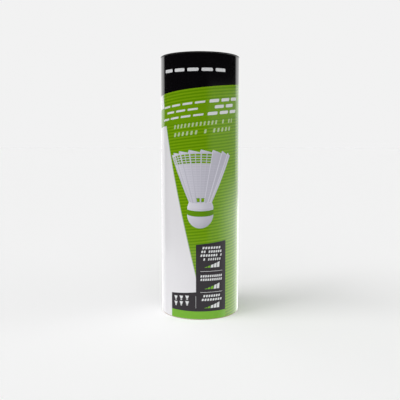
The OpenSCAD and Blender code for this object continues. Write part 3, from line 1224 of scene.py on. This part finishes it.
class TUBE_OT_studio(Operator):
    """Set up the pale floor, the light and the camera"""
    bl_idname = "tube.studio"
    bl_label = "Studio"

    def execute(self, context):
        look = context.scene.tube_studio
        self.floor(look)
        self.surroundings(context, look)
        self.sun("key_light", look.key, azimuth=-70, height=46, spread=36)
        self.sun("fill_light", look.fill, azimuth=-8, height=48, spread=70)
        self.sun("rim_light", look.rim, azimuth=-118, height=30, spread=60, shadow=False)
        self.sun("side_light", look.side, azimuth=78, height=28, spread=60, shadow=False)
        self.camera(context, look)
        context.scene.view_settings.view_transform = "Standard"
        return {"FINISHED"}

    def floor(self, look):
        """A pale floor in two rings: the near one lights the tube, the far one only carries on the view."""
        material, _, shader = new_material("pale_floor")
        shader["Base Color"].default_value = (0.80, 0.80, 0.80, 1.0)
        shader["Roughness"].default_value = 1.0
        shader["Specular IOR Level"].default_value = 0.0
        shader["Emission Color"].default_value = (1.0, 1.0, 1.0, 1.0)
        shader["Emission Strength"].default_value = look.floor_glow
        rings = (("near_floor", 0.0, look.table), ("far_floor", look.table, look.far_floor))
        for name, inner, outer in rings:
            bm = bmesh.new()
            turn_outline(bm, [(inner, 0.0), (outer, 0.0)], 96, closed=False)
            if bm.faces[0].normal.z < 0:
                bmesh.ops.reverse_faces(bm, faces=bm.faces)
            mesh = bpy.data.meshes.new(name)
            bm.to_mesh(mesh)
            bm.free()
            mesh.materials.append(material)
            floor = bpy.data.objects.new(name, mesh)
            floor.visible_glossy = False
            floor.visible_diffuse = inner == 0.0
            bpy.context.scene.collection.objects.link(floor)

    def surroundings(self, context, look):
        """What the glossy film mirrors: pale floor and backdrop, a panel low on the right, a dim room."""
        world = bpy.data.worlds.new("studio")
        context.scene.world = world
        world.use_nodes = True
        world.node_tree.nodes.clear()
        graph = Graph(world.node_tree)
        way = graph.parts(graph.add("ShaderNodeTexCoord").outputs["Generated"])
        side = graph.calc("ARCTAN2", way["X"], graph.times(way["Y"], -1.0))

        def ramp(value, start, end, low=0.0, high=1.0):
            return graph.ramp(value, start, end, low, high, interpolation_type="SMOOTHSTEP")

        def turned(value, start, end, high=1.0):
            return ramp(value, math.radians(start), math.radians(end), 0.0, high)

        behind = turned(graph.calc("ABSOLUTE", side), 126, 129.5, 1.6 * look.backdrop)
        behind = graph.times(behind, ramp(way["Z"], 0.60, 0.75, 1.0, 0.0))
        below = ramp(way["Z"], -0.195, -0.175, look.backdrop, 0.0)
        wide = graph.times(turned(side, 12, 42), ramp(way["Z"], 0.098, 0.106, 0.55, 0.0))
        near = graph.times(turned(side, 40, 100), ramp(way["Z"], -0.14, -0.03, 1.9, 0.0))
        light = graph.calc("MAXIMUM", graph.calc("MAXIMUM", behind, below), graph.calc("ADD", wide, near))
        room = graph.calc("ADD", light, 0.02)
        seen = graph.add("ShaderNodeLightPath").outputs["Is Camera Ray"]
        mirrored = graph.times(room, graph.calc("SUBTRACT", 1.0, seen))
        strength = graph.linear(seen, look.backdrop, mirrored)
        background = graph.add("ShaderNodeBackground", {"Color": (1.0, 1.0, 1.0), "Strength": strength})
        out = graph.add("ShaderNodeOutputWorld")
        graph.give(out.inputs["Surface"], background.outputs[0])
        world.cycles_visibility.diffuse = False

    def sun(self, name, strength, azimuth, height, spread, shadow=True):
        """A broad soft light; azimuth counts from the front towards the right, in degrees."""
        data = bpy.data.lights.new(name, "SUN")
        data.energy = strength
        data.angle = math.radians(spread)
        data.use_shadow = shadow
        light = bpy.data.objects.new(name, data)
        a, e = math.radians(azimuth), math.radians(height)
        towards = Vector((math.sin(a) * math.cos(e), -math.cos(a) * math.cos(e), math.sin(e)))
        light.rotation_euler = towards.to_track_quat("Z", "Y").to_euler()
        light.location = towards
        light.visible_glossy = False
        bpy.context.scene.collection.objects.link(light)

    def camera(self, context, look):
        data = bpy.data.cameras.new("camera")
        data.lens = look.lens
        data.sensor_width = 36.0
        camera = bpy.data.objects.new("camera", data)
        camera.location = (0.0, -look.camera_distance, look.camera_height)
        camera.rotation_euler = Euler((math.pi / 2 - look.camera_pitch, 0.0, 0.0))
        context.scene.collection.objects.link(camera)
        context.scene.camera = camera


class TUBE_PT_sidebar(Panel):
    """Lists the pieces in the order in which they are made"""
    bl_idname = "TUBE_PT_sidebar"
    bl_label = "Shuttlecock Tube"
    bl_space_type = "VIEW_3D"
    bl_region_type = "UI"
    bl_category = "Tube"

    def draw(self, context):
        for maker in MAKERS:
            self.layout.operator(maker.bl_idname)
        for group in SETTINGS:
            settings = getattr(context.scene, group)
            box = self.layout.box()
            for name in settings.__annotations__:
                box.prop(settings, name)


SETTINGS = {
    "tube_print": PrintSettings,
    "tube_shuttle": ShuttleSettings,
    "tube_caps": CapSettings,
    "tube_studio": StudioSettings,
}
MAKERS = (
    TUBE_OT_wrap,
    TUBE_OT_board,
    TUBE_OT_panel,
    TUBE_OT_marks,
    TUBE_OT_gauges,
    TUBE_OT_back_print,
    TUBE_OT_picture,
    TUBE_OT_lid,
    TUBE_OT_base,
    TUBE_OT_skirts,
    TUBE_OT_heads,
    TUBE_OT_studio,
)


def register():
    for cls in (*SETTINGS.values(), *MAKERS, TUBE_PT_sidebar):
        bpy.utils.register_class(cls)
    for name, group in SETTINGS.items():
        setattr(bpy.types.Scene, name, PointerProperty(type=group))


def unregister():
    for name in SETTINGS:
        delattr(bpy.types.Scene, name)
    for cls in reversed((*SETTINGS.values(), *MAKERS, TUBE_PT_sidebar)):
        bpy.utils.unregister_class(cls)


def main():
    register()
    for maker in MAKERS:
        group, name = maker.bl_idname.split(".")
        getattr(getattr(bpy.ops, group), name)()
    bpy.context.view_layer.update()


if __name__ == "__main__":
    main()
